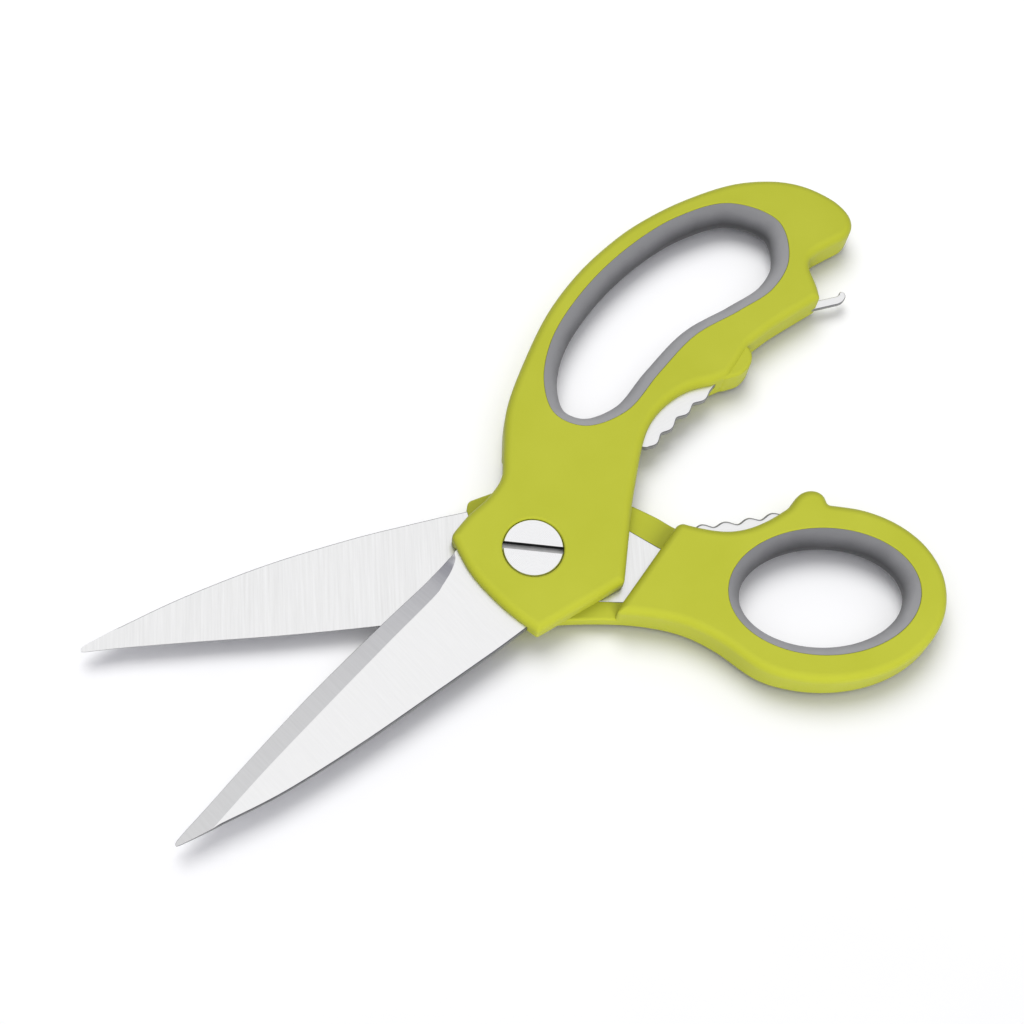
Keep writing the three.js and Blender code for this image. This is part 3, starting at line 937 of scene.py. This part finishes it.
def pocketMeshes(own, side):
    # room for the tang, the blade's root, the jaw and, in the upper handle, the hook
    gap = halves["gap"]
    low, high = halves["steelInner"] - gap, halves["steelOuter"] + gap
    left, right = blade["root"] - gap, blade["tip"]
    front, back = own["edge"][0] - gap, own["spine"][0] + gap
    mouth = [(left, front), (right, front), (right, back), (left, back)]
    yield prismMesh(grownRing(tangRing(own), gap), low, high)
    yield prismMesh(mouth, low, high)
    yield prismMesh(grownRing(jawRing(), gap), low, high)
    if side > 0:
        first, last = hook["curl"][0], hook["curl"][-1]
        ends = np.array([hookRoot(first), first, last, hookRoot(last)], float)
        strip = grownRing(evenRing(ends, hook["pocketSpacing"]), gap)
        yield prismMesh(strip, hook["level"] - gap, hook["level"] + hook["thickness"] + gap)


def stopMesh():
    level, ease = handle["half"] - upperHandle["stopDrop"], upperHandle["stopRound"]
    bump = evenRing(closedSpline(upperHandle["stop"]), upperHandle["stopSpacing"])
    return slabMesh(bump, wallProfile(-level, level, ease, ease, 5))


def makeHandle(name, outline, loop, own, side, body):
    half, ease = handle["half"], handle["round"]
    loopEase, boreEase = handle["loopRound"], handle["boreRound"]
    turns = [2 * math.pi * i / handle["boreSteps"] for i in range(handle["boreSteps"])]
    bore = np.array([(math.cos(a), math.sin(a)) for a in turns]) * handle["boreRadius"]
    holes = [
        (loop, wallProfile(-half, half, loopEase, loopEase, 4)),
        (bore, wallProfile(-half, half, boreEase, boreEase, 4)),
    ]
    piece = pieceFrom(name, slabMesh(outline, wallProfile(-half, half, ease, ease), holes))
    piece.data.materials.append(lime)
    if side > 0:
        joinCut(piece, stopMesh(), "UNION")
    plate = pieceFrom("plate", plateMesh(outline))
    joinCut(plate, deepMesh(outline), "DIFFERENCE", True)
    joinCut(piece, meshOf(plate), "DIFFERENCE")
    for pocket in pocketMeshes(own, side):
        joinCut(piece, pocket, "DIFFERENCE")
    finishPiece(piece, halfPlace(side), body, handle["crease"])


makeHandle("visual_upper_handle", upperOutline(), upperLoop(), upperBlade, 1, "upper_half")
makeHandle("visual_lower_handle", lowerOutline(), lowerLoop(), lowerBlade, -1, "lower_half")
print("handles made")


# Grips: a soft bead all round each loop
grip = {
    "upperProud": 3.6,
    "lowerProud": 3.2,
    "arch": 2.4,
    "half": 4.8,
    "steps": 32,
    "crease": 50,
}


def makeGripRing(name, loop, side, body):
    gap, proud = halves["gap"], grip["upperProud" if side > 0 else "lowerProud"]
    mesh = bmesh.new()
    rows = []
    for i in range(grip["steps"] + 1):
        share = 2 * i / grip["steps"] - 1  # from the lower lip to the upper one
        inset = gap + (proud - gap) * (1 - abs(share) ** grip["arch"])
        moved, _ = movedRing(loop, inset, 1)
        rows.append([mesh.verts.new((*point, grip["half"] * share)) for point in moved])
    for a, b in zip(rows, rows[1:] + rows[:1]):
        for i in range(len(loop)):
            j = (i + 1) % len(loop)
            mesh.faces.new([a[i], a[j], b[j], b[i]])
    bmesh.ops.recalc_face_normals(mesh, faces=mesh.faces)
    piece = pieceFrom(name, mesh)
    piece.data.materials.append(liner)
    finishPiece(piece, halfPlace(side), body, grip["crease"])
    return piece


upperGrip = makeGripRing("visual_upper_grip", upperLoop(), 1, "upper_half")
lowerGrip = makeGripRing("visual_lower_grip", lowerLoop(), -1, "lower_half")
print("grips made")


# Pivot: slotted screw and flanged nut, drawn up from the table's level, not in a half's frame
pivot = {
    "headRadius": 7.1,
    "headLow": 7.65,
    "headTop": 9.7,
    "headChamfer": 0.25,
    "headBreak": 0.12,  # the middle of the chamfer, which makes it a round
    "headFlat": 0.15,
    "headEase": 0.1,
    "shankRadius": 2.2,
    "shankEnd": 1.3,
    "shankEase": 0.3,
    "slotWidth": 1.75,
    "slotDepth": 1.5,
    "slotAngle": -33.0,
    "flangeTop": 1.55,
    "flangeFoot": 0.5,
    "flangeEase": 0.15,
    "barrelRadius": 4.0,
    "barrelTop": 7.2,
    "barrelEase": 0.2,
    "boreRadius": 2.5,
    "boreFloor": 1.0,
    "crease": 25,
}


def makeScrew():
    low, top, radius = pivot["headLow"], pivot["headTop"], pivot["headRadius"]
    ease, middle, foot = pivot["headChamfer"], pivot["headBreak"], pivot["headEase"]
    shank, end, point = pivot["shankRadius"], pivot["shankEnd"], pivot["shankEase"]
    profile = [
        (0, end), (shank - point, end), (shank, end + point), (shank, low),
        (radius - foot, low), (radius, low + foot), (radius, top - ease),
        (radius - middle, top - middle), (radius - ease, top),
        (radius - ease - pivot["headFlat"], top), (0, top),
    ]
    piece = pieceFrom("visual_pivot_screw", turnedMesh(profile))
    for material in [pivotSteel] + slotShadeSteels:
        piece.data.materials.append(material)
    reach, halfWidth = radius + 1, pivot["slotWidth"] / 2
    corners = [(-reach, -halfWidth), (reach, -halfWidth), (reach, halfWidth), (-reach, halfWidth)]
    slot = prismMesh(corners, top - pivot["slotDepth"], top + 1)
    # painted shade: the slot's walls take the near-black steel, its floor the grey one
    for face in slot.faces:
        face.material_index = 2 if abs(face.normal.z) > flatNormal else 1
    slot.transform(Matrix.Rotation(math.radians(pivot["slotAngle"]), 4, "Z"))
    joinCut(piece, slot, "DIFFERENCE")
    finishPiece(piece, Matrix.Identity(4), "lower_half", pivot["crease"])


def makeNut():
    radius, flange, barrel = pivot["headRadius"], pivot["flangeTop"], pivot["barrelRadius"]
    foot, ease, rim = pivot["flangeFoot"], pivot["flangeEase"], pivot["barrelEase"]
    top, bore, floorLevel = pivot["barrelTop"], pivot["boreRadius"], pivot["boreFloor"]
    profile = [
        (0, 0), (radius - foot, 0), (radius - ease, ease), (radius, foot), (radius, flange - ease),
        (radius - ease, flange), (barrel, flange), (barrel, top - rim), (barrel - rim, top),
        (bore, top), (bore, floorLevel), (0, floorLevel),
    ]
    piece = pieceFrom("visual_pivot_nut", turnedMesh(profile))
    piece.data.materials.append(pivotSteel)
    finishPiece(piece, Matrix.Identity(4), "lower_half", pivot["crease"])


makeScrew()
makeNut()
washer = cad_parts["spring_washer"].data
washer.materials.clear()
washer.materials.append(pivotSteel)
print("pivot made")


# Table and studio light
studio = {
    "floorSize": 6.0,
    "floorLevel": -0.0003,
    "paper": [(0.3, (0.95, 0.95, 0.95)), (0.7, (0.96, 0.96, 0.96))],
    "paperCloud": (30, 3, 0.5),
    "sky": [  # nearness to the middle, tone, blue
        (0.0, 0.12, 0.17), (0.3, 0.22, 0.27), (0.6, 0.55, 0.59),
        (0.85, 0.93, 0.94), (1.0, 1.02, 1.02),
    ],
    "skyMiddle": (-0.112, -0.214, 0.970),
    "key": {"place": (-0.16, -0.80, 1.60), "size": 1.20, "power": 17.0},
    "fill": {"place": (0.31, 0.88, 0.54), "size": 0.90, "power": 16.5},
}


def makeFloor():
    mesh = bmesh.new()
    bmesh.ops.create_grid(mesh, x_segments=8, y_segments=8, size=studio["floorSize"] / 2)
    floor = pieceFrom("floor", mesh)
    floor.location.z = studio["floorLevel"]
    material, nodes, links, shader = newMaterial("white paper sweep")
    where = objectCoordinates(nodes, links, (1, 1, 1))
    cloud = noiseNode(nodes, links, where, *studio["paperCloud"])
    links.new(rampNode(nodes, links, cloud, studio["paper"]), shader.inputs["Base Color"])
    shader.inputs["Roughness"].default_value = 0.9
    shader.inputs["Specular IOR Level"].default_value = 0.1
    floor.data.materials.append(material)
    return floor


def makeLight(name):
    own = studio[name]
    data = bpy.data.lights.new(name, "AREA")
    data.shape = "DISK"
    data.size = own["size"]
    data.energy = own["power"]
    light = bpy.data.objects.new(name, data)
    light.location = own["place"]
    light.rotation_euler = (-Vector(own["place"])).to_track_quat("-Z", "Y").to_euler()
    light.visible_glossy = False  # the steel mirrors the even sky, not the lamps
    scene.collection.objects.link(light)
    return light


def keepOff(light, things):
    # flagged off the table, where the front light would throw a second shadow, and off the liners
    flag = bpy.data.collections.new(light.name + " flag")
    for thing in things:
        flag.objects.link(thing)
    light.light_linking.receiver_collection = flag
    for member in flag.collection_objects:
        member.light_linking.link_state = "EXCLUDE"


def makeSky():
    world = bpy.data.worlds.new("studio")
    world.use_nodes = True
    nodes, links = world.node_tree.nodes, world.node_tree.links
    where = nodes.new("ShaderNodeTexCoord")
    lean = nodes.new("ShaderNodeVectorMath")  # the big soft box hangs a little behind the table
    lean.operation = "DOT_PRODUCT"
    lean.inputs[1].default_value = studio["skyMiddle"]
    links.new(where.outputs["Generated"], lean.inputs[0])
    stops = [(nearness, (tone, tone, blue)) for nearness, tone, blue in studio["sky"]]
    tone = rampNode(nodes, links, lean.outputs["Value"], stops)
    links.new(tone, nodes["Background"].inputs["Color"])
    scene.world = world


floor = makeFloor()
makeLight("key")
keepOff(makeLight("fill"), [floor, upperGrip, lowerGrip])
makeSky()
scene.view_settings.view_transform = "Standard"
print("studio set")
